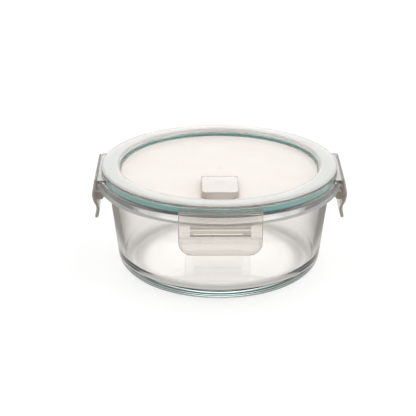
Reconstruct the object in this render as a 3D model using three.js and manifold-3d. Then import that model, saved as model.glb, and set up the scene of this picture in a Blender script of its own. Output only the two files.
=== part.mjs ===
// A round glass food container with a four-latch lid, in millimetres, +Z up.
// The origin is the centre of the foot, on the surface that the bowl stands on.
// The front latch faces -Y; the others face +X, +Y and -X.

import * as THREE from 'three';
import { mergeVertices } from 'three/addons/utils/BufferGeometryUtils.js';
import Module from 'manifold-3d';

const wasm = await Module();
wasm.setup();

// ---------------------------------------------------------------- driving dimensions

const ROUND_STEPS = 64; // facets around the bowl, the lid and the seal
const CORNER_STEPS = 3; // facets along a rounded edge
const SMALL_ROUND_STEPS = 16; // facets around the vent's pins, holes and plug
const GAP = 0.3; // clearance between neighbouring pieces
const OVERLAP = 0.4; // how far two joined shapes run into each other before they are united
const PAST = 1; // how far a cutting shape runs past what it cuts

const TOTAL_HEIGHT = 69; // foot to the top of the lid's rim
const GLASS_DIAMETER = 155; // across the glass rim, the widest round part
const GLASS_WALL = 4;
const RIM_TOP = 61.6; // the land that the seal presses on
const RIM_UNDERSIDE = 56.1; // the ledge that the latches hook under

const LID_RADIUS = 75.1; // outside of the lid's skirt
const PANEL_TOP = 64.4; // top of the recessed middle of the lid
const PANEL_THICKNESS = 1.6;

const LATCH_WIDTH = 50;
const LATCH_THICKNESS = 1.6;
const LATCH_FOOT = 38; // lowest point of a closed latch
const LATCH_CORNER = 8; // radius of its lower corners
const HINGE_TOP = 65.6; // top of the lug that carries a latch
const HINGE_RADIUS = 76.45; // distance of a latch's hinge line from the lid's axis

const VENT_AXIS = { y: -24.4, z: 66.55 }; // the vent flap's hinge line, along X
const VENT_HOLE = { y: -38, radius: 1.9 }; // the steam hole through the lid

// ---------------------------------------------------------------- derived dimensions

const RIM_RADIUS = GLASS_DIAMETER / 2;
const PANEL_UNDERSIDE = PANEL_TOP - PANEL_THICKNESS;

const BOWL = {
	wallAtFoot: 64.09, // outer wall line carried down to the foot plane
	wallLean: 0.1174, // outward run of the wall for each millimetre of height
	outerCorner: 11,
	innerCorner: 9,
	floor: 6.5,
	footInner: 49,
	hollow: 1.2, // height of the shallow hollow inside the foot ring, at its middle
	hollowSteps: 5,
	ledgeRoot: 1, // bevel between the wall and the ledge
	rimTopRadius: RIM_RADIUS - 1.1,
	rimEdge: 1.2,
	lipEdge: 0.8,
};

const LID = {
	skirtFoot: RIM_TOP + 0.4,
	skirtInner: LID_RADIUS - 1.7,
	skirtEdge: 0.4,
	shoulder: 1.8, // rounding between skirt and rim top
	channelInner: 65.2,
	channelTop: TOTAL_HEIGHT - 2.9,
	plugInner: 64.4, // the ring that centres the lid in the glass
	plugOuter: 66.4,
	plugFoot: 58.6,
	plugEdge: 0.5,
	plugRoot: 0.8, // bevel between the centring ring and the panel's underside
	stepOuter: RIM_TOP + 0.2, // the ring's shoulder over the mouth, at its outer and inner ends
	stepInner: RIM_TOP + 0.7,
	recessRadius: 63,
	recessShoulder: 3,
	recessFillet: 1.6,
};

// Two ribs under the seal press on the glass; the outer one is flush with the seal's outside.
const SEAL = { ribHeight: 0.7, ribBevel: 0.4, innerRib: [68.8, 70], outerRib: 71.9 };

const LUG = { thickness: 2.2, face: HINGE_RADIUS - 0.25, root: LID_RADIUS - 0.7 };

const HOOK = {
	halfWidth: 18,
	top: RIM_UNDERSIDE - 0.7,
	foot: 50.4,
	tip: 72,
	rootTop: 78.6, // where the bar's top and foot meet the plate
	rootFoot: 77.4,
	tipHeight: 2,
	tipSlope: 1.6,
};

const VENT = {
	halfWidth: 11.6,
	barrel: 1.75,
	frontEdge: 52.6, // how far forward the front wall's top edge is
	frontFoot: 55.1, // and its foot, in the middle
	frontBend: 24, // radius of the foot, seen from above
	frontCorner: 2.4,
	crown: 68.75,
	frontTop: 68.4,
	foot: 64.8,
	wall: 1.3,
	ceiling: 67,
	cavityBack: -27,
	earInner: 6.3,
	earOuter: 8.1,
	pinRadius: 0.8,
	pinHalfLength: 9,
	bossRadius: 4.6,
	bossTop: PANEL_TOP + 0.6,
};

const PLUG = { tip: 1, neck: 1.3, disc: 3.6, discThickness: 0.8, head: 2, reach: 0.9 };

// ---------------------------------------------------------------- finishes

const GLASS = new THREE.MeshStandardMaterial({ color: 0xdcebe8, roughness: 0.04, metalness: 0 });
const CLEAR_PLASTIC = new THREE.MeshStandardMaterial({ color: 0xece7e2, roughness: 0.3, metalness: 0 });
const PALE_PLASTIC = new THREE.MeshStandardMaterial({ color: 0xf7efe8, roughness: 0.4, metalness: 0 });
const SILICONE = new THREE.MeshStandardMaterial({ color: 0x5fb0a6, roughness: 0.55, metalness: 0 });

// ---------------------------------------------------------------- solids

// Six times the volume that the faces enclose, which is negative when they point inwards.
function signedVolume(positions, indices) {
	const [a, b, c] = [new THREE.Vector3(), new THREE.Vector3(), new THREE.Vector3()];
	let total = 0;
	for (let i = 0; i < indices.length; i += 3) {
		a.fromBufferAttribute(positions, indices[i]);
		b.fromBufferAttribute(positions, indices[i + 1]);
		c.fromBufferAttribute(positions, indices[i + 2]);
		total += a.dot(b.cross(c));
	}
	return total;
}

// Merges a geometry's shared corners, drops collapsed faces and returns a solid facing out.
function solidFrom(geometry) {
	geometry.deleteAttribute('normal');
	geometry.deleteAttribute('uv');
	const merged = mergeVertices(geometry, 1e-3);
	const index = merged.getIndex().array;
	const kept = [];
	for (let i = 0; i < index.length; i += 3) {
		const [a, b, c] = [index[i], index[i + 1], index[i + 2]];
		if (a !== b && b !== c && c !== a) kept.push(a, b, c);
	}
	if (signedVolume(merged.getAttribute('position'), kept) < 0) kept.reverse();
	const vertProperties = new Float32Array(merged.getAttribute('position').array);
	const triVerts = new Uint32Array(kept);
	return new wasm.Manifold(new wasm.Mesh({ numProp: 3, vertProperties, triVerts }));
}

function unite(...solids) {
	return solids.reduce((whole, piece) => whole.add(piece));
}

function namedMesh(name, solid, material) {
	const { vertProperties, triVerts } = solid.getMesh();
	const geometry = new THREE.BufferGeometry();
	geometry.setAttribute('position', new THREE.BufferAttribute(vertProperties, 3));
	geometry.setIndex(new THREE.BufferAttribute(triVerts, 1));
	geometry.computeVertexNormals();
	const mesh = new THREE.Mesh(geometry, material);
	mesh.name = name;
	return mesh;
}

// Turns an outline of [radius, height] points about the Z axis.
function turned(outline, steps = ROUND_STEPS) {
	const points = outline.map(([radius, height]) => new THREE.Vector2(radius, height));
	return solidFrom(new THREE.LatheGeometry(points, steps).rotateX(Math.PI / 2));
}

// Points along an arc in an outline, ends included; angles in degrees.
function arc(centreRadius, centreHeight, radius, from, to, steps = CORNER_STEPS) {
	return Array.from({ length: steps + 1 }, (_, i) => {
		const angle = THREE.MathUtils.degToRad(from + ((to - from) * i) / steps);
		return [centreRadius + radius * Math.cos(angle), centreHeight + radius * Math.sin(angle)];
	});
}

// Where a flat shape's own x, y and push direction go.
const basis = (...directions) => directions.map((direction) => new THREE.Vector3(...direction));
const FROM_ABOVE = basis([1, 0, 0], [0, 1, 0], [0, 0, 1]);
const FROM_THE_FRONT = basis([1, 0, 0], [0, 0, 1], [0, -1, 0]);
const FROM_THE_RIGHT = basis([0, 1, 0], [0, 0, 1], [1, 0, 0]);
const LATCH_SECTION = basis([0, -1, 0], [0, 0, 1], [-1, 0, 0]);

// Pushes a flat shape along the last of its axes, between two distances.
function prism(shape, axes, from, to) {
	const options = { depth: to - from, bevelEnabled: false, curveSegments: 12 };
	const geometry = new THREE.ExtrudeGeometry(shape, options);
	geometry.translate(0, 0, from);
	return solidFrom(geometry.applyMatrix4(new THREE.Matrix4().makeBasis(...axes)));
}

function outlineShape(points) {
	return new THREE.Shape(points.map(([x, y]) => new THREE.Vector2(x, y)));
}

function disc(y, z, radius) {
	return outlineShape(arc(y, z, radius, 0, 360, SMALL_ROUND_STEPS).slice(1));
}

// ---------------------------------------------------------------- bowl

// The arc that rounds a leaning wall into a flat floor, from the floor to the wall.
function floorCorner(wallAtZero, floor, radius) {
	const lean = BOWL.wallLean;
	const centreHeight = floor + radius;
	const centreRadius = wallAtZero + lean * centreHeight - radius * Math.hypot(1, lean);
	const wallAngle = -THREE.MathUtils.radToDeg(Math.atan(lean));
	return arc(centreRadius, centreHeight, radius, -90, wallAngle, 2 * CORNER_STEPS);
}

// The shallow hollow under the bowl, from its middle out to the foot ring: a parabola.
function footHollow() {
	return Array.from({ length: BOWL.hollowSteps }, (_, i) => {
		const share = i / BOWL.hollowSteps;
		return [BOWL.footInner * share, BOWL.hollow * (1 - share * share)];
	});
}

function glassBowl() {
	const innerAtFoot = BOWL.wallAtFoot - GLASS_WALL * Math.hypot(1, BOWL.wallLean);
	const wallRadius = (height) => BOWL.wallAtFoot + BOWL.wallLean * height;
	const mouth = innerAtFoot + BOWL.wallLean * RIM_TOP;
	const edge = BOWL.rimEdge;
	const lip = BOWL.lipEdge;
	const root = BOWL.ledgeRoot;
	return turned([
		...footHollow(),
		[BOWL.footInner, 0],
		...floorCorner(BOWL.wallAtFoot, 0, BOWL.outerCorner),
		[wallRadius(RIM_UNDERSIDE - root), RIM_UNDERSIDE - root],
		[wallRadius(RIM_UNDERSIDE) + root, RIM_UNDERSIDE],
		...arc(RIM_RADIUS - lip, RIM_UNDERSIDE + lip, lip, -90, 0, 2),
		...arc(BOWL.rimTopRadius - edge, RIM_TOP - edge, edge, 0, 90),
		...arc(mouth + edge, RIM_TOP - edge, edge, 90, 180),
		...floorCorner(innerAtFoot, BOWL.floor, BOWL.innerCorner).reverse(),
		[0, BOWL.floor],
	]);
}

// ---------------------------------------------------------------- lid

function lidBody() {
	const shoulder = LID.shoulder;
	const recess = LID.recessShoulder;
	const fillet = LID.recessFillet;
	const edge = LID.skirtEdge;
	const tip = LID.plugEdge;
	return turned([
		[0, PANEL_UNDERSIDE],
		[LID.plugInner - LID.plugRoot, PANEL_UNDERSIDE],
		[LID.plugInner, PANEL_UNDERSIDE - LID.plugRoot],
		...arc(LID.plugInner + tip, LID.plugFoot + tip, tip, 180, 270, 1),
		...arc(LID.plugOuter - tip, LID.plugFoot + tip, tip, 270, 360, 1),
		[LID.plugOuter, LID.stepOuter],
		[LID.channelInner, LID.stepInner],
		[LID.channelInner, LID.channelTop],
		[LID.skirtInner, LID.channelTop],
		[LID.skirtInner, LID.skirtFoot + edge],
		[LID.skirtInner + edge, LID.skirtFoot],
		[LID_RADIUS - edge, LID.skirtFoot],
		[LID_RADIUS, LID.skirtFoot + edge],
		...arc(LID_RADIUS - shoulder, TOTAL_HEIGHT - shoulder, shoulder, 0, 90),
		...arc(LID.recessRadius + recess, TOTAL_HEIGHT - recess, recess, 90, 180),
		...arc(LID.recessRadius - fillet, PANEL_TOP + fillet, fillet, 0, -90),
		[0, PANEL_TOP],
	]);
}

// The flat-fronted lug that carries the front latch, grown out of the round skirt.
function hingeLug() {
	const half = LATCH_WIDTH / 2;
	const reach = THREE.MathUtils.radToDeg(Math.asin(half / LUG.root));
	const outline = outlineShape([
		[half, -LUG.face],
		...arc(0, 0, LUG.root, reach - 90, -reach - 90, 12),
		[-half, -LUG.face],
	]);
	return prism(outline, FROM_ABOVE, HINGE_TOP - LUG.thickness, HINGE_TOP);
}

// One of the two ears that hold the vent flap's pins, on the side that sign says.
function ventEar(sign) {
	const { y, z } = VENT_AXIS;
	const [from, to] = [sign * VENT.earInner, sign * VENT.earOuter].sort((a, b) => a - b);
	const outline = outlineShape([
		[y - VENT.barrel, PANEL_TOP - OVERLAP],
		[y + VENT.barrel, PANEL_TOP - OVERLAP],
		...arc(y, z, VENT.barrel, 0, 180, 8),
	]);
	const bore = prism(disc(y, z, VENT.pinRadius + GAP), FROM_THE_RIGHT, from - PAST, to + PAST);
	return prism(outline, FROM_THE_RIGHT, from, to).subtract(bore);
}

function lid() {
	const lugs = [0, 90, 180, 270].map((turn) => hingeLug().rotate([0, 0, turn]));
	const [round, bore] = [VENT.bossRadius, VENT_HOLE.radius].map((radius) => disc(0, VENT_HOLE.y, radius));
	const boss = prism(round, FROM_ABOVE, PANEL_TOP - OVERLAP, VENT.bossTop);
	const hole = prism(bore, FROM_ABOVE, PANEL_UNDERSIDE - PAST, VENT.bossTop + PAST);
	return unite(lidBody(), ...lugs, boss, ventEar(-1), ventEar(1)).subtract(hole);
}

// ---------------------------------------------------------------- seal

// A ring that fills the lid's channel, with two ribs that press on the glass.
function seal() {
	const inner = LID.channelInner + GAP;
	const outer = LID.skirtInner - GAP;
	const ribFoot = RIM_TOP + GAP;
	const between = ribFoot + SEAL.ribHeight;
	const bevel = SEAL.ribBevel;
	const [ribStart, ribEnd] = SEAL.innerRib;
	return turned([
		[inner, between],
		[ribStart - bevel, between],
		[ribStart, ribFoot],
		[ribEnd, ribFoot],
		[ribEnd + bevel, between],
		[SEAL.outerRib - bevel, between],
		[SEAL.outerRib, ribFoot],
		[outer, ribFoot],
		[outer, LID.channelTop - GAP],
		[inner, LID.channelTop - GAP],
		[inner, between],
	]);
}

// ---------------------------------------------------------------- latch

// The middle of the latch plate, from its hinge down: out over the rim, in under it, out to the lip.
const LATCH_PATH = [
	[77.35, 65.2],
	[78.1, 60.6],
	[78.9, 56.2],
	[78.2, 52],
	[76.7, 48.8],
	[76.2, 45.8],
	[76.8, 42.6],
	[77.8, LATCH_FOOT + LATCH_THICKNESS / 2],
];
const LATCH_PATH_STEPS = 18;
const LATCH_HEAD = [[HINGE_RADIUS + 0.2, HINGE_TOP], [77.4, HINGE_TOP]]; // its flat top, at the hinge line

// The plate's section: the path's two offsets, with a round end at each end of it.
function plateSection() {
	const knots = LATCH_PATH.map(([radius, height]) => new THREE.Vector2(radius, height));
	const curve = new THREE.SplineCurve(knots);
	const half = LATCH_THICKNESS / 2;
	const sides = [[], []];
	for (let i = 0; i <= LATCH_PATH_STEPS; i++) {
		const middle = curve.getPointAt(i / LATCH_PATH_STEPS);
		const along = curve.getTangentAt(i / LATCH_PATH_STEPS);
		sides[0].push([middle.x - along.y * half, middle.y + along.x * half]);
		sides[1].push([middle.x + along.y * half, middle.y - along.x * half]);
	}
	const [outer, inner] = sides;
	const lip = [LATCH_PATH[LATCH_PATH.length - 1][0], LATCH_FOOT];
	return outlineShape([...outer.slice(1), lip, ...inner.slice(1).reverse(), ...LATCH_HEAD]);
}

// The plate seen from the front, with its rounded lower corners.
function plateOutline() {
	const half = LATCH_WIDTH / 2;
	const corner = LATCH_CORNER;
	return outlineShape([
		[-half, HINGE_TOP + PAST],
		...arc(corner - half, LATCH_FOOT + corner, corner, 180, 270, 6),
		...arc(half - corner, LATCH_FOOT + corner, corner, 270, 360, 6),
		[half, HINGE_TOP + PAST],
	]);
}

// The bar inside the latch that catches under the glass rim.
function hookSection() {
	return outlineShape([
		[HOOK.rootTop, HOOK.top],
		[HOOK.tip, HOOK.top],
		[HOOK.tip, HOOK.top - HOOK.tipHeight],
		[HOOK.tip + HOOK.tipSlope, HOOK.foot],
		[HOOK.rootFoot, HOOK.foot],
	]);
}

function latch() {
	const half = LATCH_WIDTH / 2;
	const plate = prism(plateSection(), LATCH_SECTION, -half - PAST, half + PAST);
	const depth = 5 * LATCH_THICKNESS / 2;
	const outline = prism(plateOutline(), FROM_THE_FRONT, HINGE_RADIUS - depth, HINGE_RADIUS + depth);
	const hook = prism(hookSection(), LATCH_SECTION, -HOOK.halfWidth, HOOK.halfWidth);
	return plate.intersect(outline).add(hook);
}

// ---------------------------------------------------------------- vent

// The flap seen from the side: round at its hinge, crowned on top, with a sloping front.
function flapSide() {
	const { y, z } = VENT_AXIS;
	const middle = (y - VENT.frontEdge) / 2;
	const crown = new THREE.QuadraticBezierCurve(
		new THREE.Vector2(y, z + VENT.barrel),
		new THREE.Vector2(middle, 2 * VENT.crown - (z + VENT.barrel + VENT.frontTop) / 2),
		new THREE.Vector2(-VENT.frontEdge, VENT.frontTop),
	);
	return outlineShape([
		[-VENT.frontFoot, VENT.foot],
		...arc(y, z, VENT.barrel, -90, 90, 8),
		...crown.getPoints(8).slice(1).map((point) => [point.x, point.y]),
	]);
}

// The flap from above, shrunk by inset: straight sides, and a front that bows out in an arc as far as front.
function flapPlan(back, front, inset) {
	const half = VENT.halfWidth - inset;
	const corner = VENT.frontCorner;
	const radius = VENT.frontBend - inset;
	const centre = VENT.frontBend - front;
	const shape = new THREE.Shape();
	const reach = Math.asin((half - corner) / radius);
	const sideEnd = centre - Math.sqrt((radius - corner) ** 2 - (half - corner) ** 2);
	shape.moveTo(half, back);
	shape.lineTo(-half, back);
	shape.lineTo(-half, sideEnd);
	shape.quadraticCurveTo(-half, sideEnd - corner, -radius * Math.sin(reach), centre - radius * Math.cos(reach));
	shape.absarc(0, centre, radius, -Math.PI / 2 - reach, -Math.PI / 2 + reach, false);
	shape.quadraticCurveTo(half, sideEnd - corner, half, sideEnd);
	return shape;
}

function ventFlap() {
	const { y, z } = VENT_AXIS;
	const half = VENT.halfWidth;
	const outside = prism(flapSide(), FROM_THE_RIGHT, -half, half);
	const behind = y + VENT.barrel + PAST;
	const under = VENT.foot - PAST;
	const plan = prism(flapPlan(behind, VENT.frontFoot, 0), FROM_ABOVE, under, VENT.crown + PAST);
	const block = outside.intersect(plan);
	const inside = flapPlan(VENT.cavityBack, VENT.frontEdge, VENT.wall);
	const cavity = prism(inside, FROM_ABOVE, under, VENT.ceiling);
	const slots = [-1, 1].map((sign) => {
		const ends = [sign * (VENT.earInner - GAP), sign * (VENT.earOuter + GAP)].sort((a, b) => a - b);
		const sweep = prism(disc(y, z, VENT.barrel + GAP), FROM_THE_RIGHT, ...ends);
		const below = outlineShape([
			[VENT.cavityBack - OVERLAP, under],
			[behind, under],
			[behind, z],
			[VENT.cavityBack - OVERLAP, z],
		]);
		return sweep.add(prism(below, FROM_THE_RIGHT, ...ends));
	});
	const pin = prism(disc(y, z, VENT.pinRadius), FROM_THE_RIGHT, -VENT.pinHalfLength, VENT.pinHalfLength);
	return slots.reduce((flap, slot) => flap.subtract(slot), block.subtract(cavity)).add(pin);
}

// The soft plug under the flap: a head, a sealing disc and a short tapered tip in the steam hole.
function ventPlug() {
	const [tip, disc, top] = [VENT.bossTop - PLUG.reach, VENT.bossTop + GAP, VENT.ceiling - GAP];
	return turned(
		[
			[0, tip],
			[PLUG.tip, tip],
			[PLUG.neck, disc],
			[PLUG.disc, disc],
			[PLUG.disc, disc + PLUG.discThickness],
			[PLUG.head, disc + PLUG.discThickness],
			[PLUG.head, top],
			[0, top],
		],
		SMALL_ROUND_STEPS,
	).translate([0, VENT_HOLE.y, 0]);
}

// ---------------------------------------------------------------- assembly

const container = new THREE.Group();
container.add(namedMesh('glass_bowl', glassBowl(), GLASS));

const lidGroup = new THREE.Group();
lidGroup.add(namedMesh('lid', lid(), PALE_PLASTIC));
lidGroup.add(namedMesh('seal_ring', seal(), SILICONE));
lidGroup.add(namedMesh('vent_flap', ventFlap(), CLEAR_PLASTIC));
lidGroup.add(namedMesh('vent_plug', ventPlug(), SILICONE));

['front', 'right', 'back', 'left'].forEach((side, quarter) => {
	const mesh = namedMesh(`${side}_latch`, latch(), CLEAR_PLASTIC);
	mesh.rotation.z = (quarter * Math.PI) / 2;
	lidGroup.add(mesh);
});
container.add(lidGroup);

export default container;
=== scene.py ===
"""Looks for a round glass food container with a four-latch lid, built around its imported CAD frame."""

import logging
import math
from dataclasses import dataclass
from enum import Enum

import bmesh
import bpy
import numpy as np
from mathutils import Euler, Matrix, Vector


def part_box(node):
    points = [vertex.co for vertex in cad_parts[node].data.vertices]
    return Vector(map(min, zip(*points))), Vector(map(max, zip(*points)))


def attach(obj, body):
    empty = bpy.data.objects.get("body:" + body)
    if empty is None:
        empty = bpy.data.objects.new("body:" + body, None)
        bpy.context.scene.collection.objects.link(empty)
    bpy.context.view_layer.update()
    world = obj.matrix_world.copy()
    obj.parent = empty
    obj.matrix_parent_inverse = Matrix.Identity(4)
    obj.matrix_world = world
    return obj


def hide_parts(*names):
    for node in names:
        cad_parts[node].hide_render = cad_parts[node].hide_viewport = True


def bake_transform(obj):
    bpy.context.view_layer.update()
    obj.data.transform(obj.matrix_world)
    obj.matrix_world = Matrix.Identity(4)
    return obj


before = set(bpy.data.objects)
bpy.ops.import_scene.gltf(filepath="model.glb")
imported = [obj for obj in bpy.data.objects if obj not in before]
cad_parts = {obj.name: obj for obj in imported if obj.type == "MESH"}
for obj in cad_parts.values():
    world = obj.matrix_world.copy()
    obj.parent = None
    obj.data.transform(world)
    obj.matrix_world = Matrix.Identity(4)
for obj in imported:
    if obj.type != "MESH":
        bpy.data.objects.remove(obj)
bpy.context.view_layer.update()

LOG = logging.getLogger("container")
MM = 0.001
Colour = tuple[float, float, float]
Place = tuple[float, float, float]
Points = np.ndarray


# ------------------------------------------------------------------ surfaces


def arc(centre: tuple[float, float], radius: float, start: float, end: float, steps: int = 10) -> Points:
    """Points along a circle in an outline: centre plus radius times (cos, sin) of the angle.

    Args:
        centre: The circle's centre, as (radius from the axis, height), in millimetres.
        radius: The circle's radius, in millimetres.
        start: The first point's angle, in degrees.
        end: The last point's angle, in degrees.
        steps: How many chords to lay along the arc.

    Returns:
        An array of steps + 1 rows of (radius, height).
    """
    angle = np.radians(np.linspace(start, end, steps + 1))
    return np.stack([centre[0] + radius * np.cos(angle), centre[1] + radius * np.sin(angle)], axis=1)


def joined(*runs: Points | list[tuple[float, float]]) -> Points:
    """One outline from several runs of points, in order."""
    return np.concatenate([np.asarray(run, float).reshape(-1, 2) for run in runs])


def evenly(outline: Points, longest: float) -> Points:
    """The outline with its long straight stretches cut up, each into equal steps no longer than longest."""
    length = np.linalg.norm(np.diff(outline, axis=0), axis=1)
    counts = np.maximum(np.ceil(length / longest).astype(int), 1)
    start = np.repeat(np.arange(len(counts)), counts)
    earlier = np.repeat(np.cumsum(counts) - counts, counts)
    share = (np.arange(counts.sum()) - earlier) / np.repeat(counts, counts)
    cut = outline[start] + (outline[start + 1] - outline[start]) * share[:, None]
    return np.vstack([cut, outline[-1:]])


@dataclass
class Surface:
    """A mesh as plain arrays, in millimetres.

    Attributes:
        points: One row of x, y, z for each vertex.
        quads: One row of four vertex numbers for each four-sided face.
        triangles: One row of three vertex numbers for each three-sided face.
    """

    points: Points
    quads: Points
    triangles: Points

    @staticmethod
    def grid(points: Points, around: bool = False, along: bool = False) -> "Surface":
        """A surface from a grid of points.

        Args:
            points: An array of rows by columns by three.
            around: True if the last column meets the first.
            along: True if the last row meets the first.

        Returns:
            The surface, with one quad for each cell.
        """
        rows, columns = points.shape[:2]
        number = np.arange(rows * columns).reshape(rows, columns)
        if around:
            number = np.hstack([number, number[:, :1]])
        if along:
            number = np.vstack([number, number[:1]])
        quads = np.stack([number[:-1, :-1], number[:-1, 1:], number[1:, 1:], number[1:, :-1]], axis=-1)
        return Surface(points.reshape(-1, 3), quads.reshape(-1, 4), np.zeros((0, 3), int))

    def capped(self, ring: Points, tip: tuple[float, float, float]) -> "Surface":
        """The surface with a fan of triangles from a ring of its vertices to one new point.

        Args:
            ring: The vertex numbers of the ring, in order.
            tip: The point that the fan meets.

        Returns:
            The surface with the fan on it.
        """
        last = len(self.points)
        fan = np.stack([ring, np.roll(ring, -1), np.full(len(ring), last)], axis=1)
        return Surface(
            np.vstack([self.points, [tip]]),
            self.quads,
            np.vstack([self.triangles, fan]),
        )

    def plus(self, *others: "Surface") -> "Surface":
        """This surface and others as one, with nothing merged."""
        pieces = [self, *others]
        base = np.cumsum([0] + [len(piece.points) for piece in pieces[:-1]])
        return Surface(
            np.vstack([piece.points for piece in pieces]),
            np.vstack([piece.quads + start for piece, start in zip(pieces, base)]),
            np.vstack([piece.triangles + start for piece, start in zip(pieces, base)]),
        )

    def moved(self, offset: tuple[float, float, float]) -> "Surface":
        """The surface pushed by an offset."""
        return Surface(self.points + np.asarray(offset, float), self.quads, self.triangles)

    def quarter_turned(self, quarters: int) -> "Surface":
        """The surface turned about the upright axis by a number of right angles."""
        c, s = [(1, 0), (0, 1), (-1, 0), (0, -1)][quarters % 4]
        turn = np.array([[c, -s, 0], [s, c, 0], [0, 0, 1]], float)
        return Surface(self.points @ turn.T, self.quads, self.triangles)

    def volume(self) -> float:
        """The volume that the faces enclose, by the divergence theorem; negative when they point inwards."""
        corners = np.vstack([self.quads[:, [0, 1, 2]], self.quads[:, [0, 2, 3]], self.triangles])
        a, b, c = (self.points[corners[:, k]] for k in range(3))
        return float(np.einsum("ij,ij->i", a, np.cross(b, c)).sum() / 6)

    def mesh(self, name: str) -> bpy.types.Mesh:
        """The Blender mesh of this surface, in metres, with its faces pointing out."""
        flip = self.volume() < 0
        quads = self.quads[:, ::-1] if flip else self.quads
        triangles = self.triangles[:, ::-1] if flip else self.triangles
        made = bpy.data.meshes.new(name)
        made.vertices.add(len(self.points))
        made.vertices.foreach_set("co", (self.points * MM).astype(np.float32).ravel())
        loops = np.concatenate([quads.ravel(), triangles.ravel()]).astype(np.int32)
        sizes = np.concatenate([np.full(len(quads), 4), np.full(len(triangles), 3)]).astype(np.int32)
        made.loops.add(len(loops))
        made.loops.foreach_set("vertex_index", loops)
        made.polygons.add(len(sizes))
        made.polygons.foreach_set("loop_start", (np.cumsum(sizes) - sizes).astype(np.int32))
        made.update(calc_edges=True)
        made.validate()
        return made


def turned(outline: Points, steps: int = 256) -> Surface:
    """An outline turned about the upright axis: each of its points becomes a circle.

    Args:
        outline: Rows of (radius, height). It starts and ends on the axis, or its last point repeats its
            first.
        steps: How many facets to lay around the axis.

    Returns:
        The closed surface.
    """
    on_axis = outline[:, 0] < 1e-9
    rings = outline[~on_axis] if on_axis.any() else outline[:-1]
    angle = np.arange(steps) * 2 * np.pi / steps
    x = rings[:, :1] * np.cos(angle)
    y = rings[:, :1] * np.sin(angle)
    z = np.broadcast_to(rings[:, 1:], x.shape)
    surface = Surface.grid(np.stack([x, y, z], axis=-1), around=True, along=not on_axis.any())
    if on_axis.any():
        first = np.arange(steps)[::-1]
        last = (len(rings) - 1) * steps + np.arange(steps)
        surface = surface.capped(first, (0, 0, outline[0, 1]))
        surface = surface.capped(last, (0, 0, outline[-1, 1]))
    return surface


def pushed(outline: Points, axis: int, start: float, end: float) -> Surface:
    """A flat outline pushed along one axis, closed by a fan at each end.

    Args:
        outline: Rows of the two other coordinates, in x, y, z order, once round. It has to be seen whole
            from its own middle.
        axis: 0, 1 or 2, for the axis that it is pushed along.
        start: Where the push starts, in millimetres.
        end: Where the push ends, in millimetres.

    Returns:
        The closed surface.
    """
    others = [k for k in range(3) if k != axis]
    rows = np.zeros((2, len(outline), 3))
    rows[:, :, others] = outline
    rows[0, :, axis] = start
    rows[1, :, axis] = end
    surface = Surface.grid(rows, around=True)
    count = len(outline)
    tips = np.zeros((2, 3))
    tips[:, others] = outline.mean(axis=0)
    tips[:, axis] = (start, end)
    surface = surface.capped(np.arange(count)[::-1], tuple(tips[0]))
    return surface.capped(count + np.arange(count), tuple(tips[1]))


# ------------------------------------------------------------------ objects


def new_object(name: str, surface: Surface) -> bpy.types.Object:
    """An object at the origin that holds a surface."""
    made = bpy.data.objects.new(name, surface.mesh(name))
    bpy.context.scene.collection.objects.link(made)
    return made


def reworked(piece: bpy.types.Object, added: list[Surface], removed: list[Surface]) -> bpy.types.Object:
    """A piece with closed surfaces united to it and then others cut from it, applied to its mesh."""
    tools = []
    for operation, surfaces in (("UNION", added), ("DIFFERENCE", removed)):
        for surface in surfaces:
            tool = new_object(f"{piece.name}_tool", surface)
            step = piece.modifiers.new("step", "BOOLEAN")
            step.operation = operation
            step.solver = "MANIFOLD"
            step.object = tool
            tools.append(tool)
    bpy.context.view_layer.update()
    result = bpy.data.meshes.new_from_object(piece.evaluated_get(bpy.context.evaluated_depsgraph_get()))
    piece.modifiers.clear()
    result.materials.clear()
    piece.data = result
    piece.data.name = piece.name
    for tool in tools:
        bpy.data.objects.remove(tool)
    return piece


def weld(piece: bpy.types.Object, distance: float = 1e-6) -> None:
    """Merges a piece's coincident vertices and drops the faces that vanish with them."""
    mesh = bmesh.new()
    mesh.from_mesh(piece.data)
    bmesh.ops.remove_doubles(mesh, verts=mesh.verts, dist=distance)
    bmesh.ops.dissolve_degenerate(mesh, edges=mesh.edges, dist=distance)
    mesh.to_mesh(piece.data)
    mesh.free()


def smooth(piece: bpy.types.Object, crease: float = 32.0) -> None:
    """Shades a piece smooth, and keeps the edges that turn by more than crease degrees sharp."""
    mesh = piece.data
    mesh.polygons.foreach_set("use_smooth", np.ones(len(mesh.polygons), bool))
    mesh.set_sharp_from_angle(angle=math.radians(crease))


def face_frames(mesh: bpy.types.Mesh) -> tuple[Points, Points]:
    """Each face's centre, in millimetres, and its normal."""
    centres = np.zeros(len(mesh.polygons) * 3, np.float32)
    normals = np.zeros(len(mesh.polygons) * 3, np.float32)
    mesh.polygons.foreach_get("center", centres)
    mesh.polygons.foreach_get("normal", normals)
    return centres.reshape(-1, 3) / MM, normals.reshape(-1, 3)


def report(piece: bpy.types.Object) -> None:
    """Logs a finished piece's name and face count."""
    LOG.info("%s: %d faces", piece.name, len(piece.data.polygons))


# ------------------------------------------------------------------ finishes


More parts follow.
